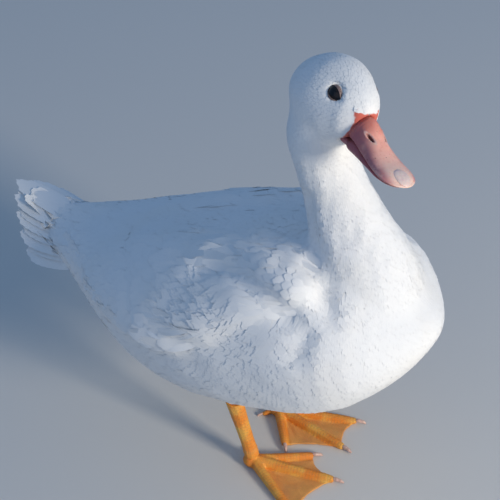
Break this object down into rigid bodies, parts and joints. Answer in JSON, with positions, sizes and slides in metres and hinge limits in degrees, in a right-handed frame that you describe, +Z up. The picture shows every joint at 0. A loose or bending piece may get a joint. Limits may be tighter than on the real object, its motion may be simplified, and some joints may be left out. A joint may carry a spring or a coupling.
{
  "type": "white domestic duck",
  "caption": "Life-size standing white duck with a broad pink bill and orange webbed feet, head turned to its right, as a still museum model.",
  "frame": {"origin": "centre of the overall box at floor level, under the soles", "axes": "+X the way the body faces, +Y the duck's left, +Z up"},
  "size_m": [0.413, 0.1998, 0.4023],
  "materials": {
    "plumage": "soft white feathers, matte with a faint silky sheen",
    "bill": "smooth waxy pink skin over horn, redder at the base",
    "nail": "smooth pale horn",
    "eye": "wet gloss",
    "leg": "scaly orange skin, satin",
    "claw": "smooth horn"
  },
  "bodies": {
    "root": {"trunk": "plumage", "neck": "plumage", "head": "plumage", "bill_upper": "bill", "bill_lower": "bill", "bill_nail": "nail", "eye_left": "eye", "eye_right": "eye", "tail": "plumage", "wing_left": "plumage", "thigh_left": "plumage", "shank_left": "leg", "foot_left": "leg", "claw_left_inner": "claw", "claw_left_middle": "claw", "claw_left_outer": "claw", "claw_left_hind": "claw", "wing_right": "plumage", "thigh_right": "plumage", "shank_right": "leg", "foot_right": "leg", "claw_right_inner": "claw", "claw_right_middle": "claw", "claw_right_outer": "claw", "claw_right_hind": "claw"}
  },
  "joints": []
}
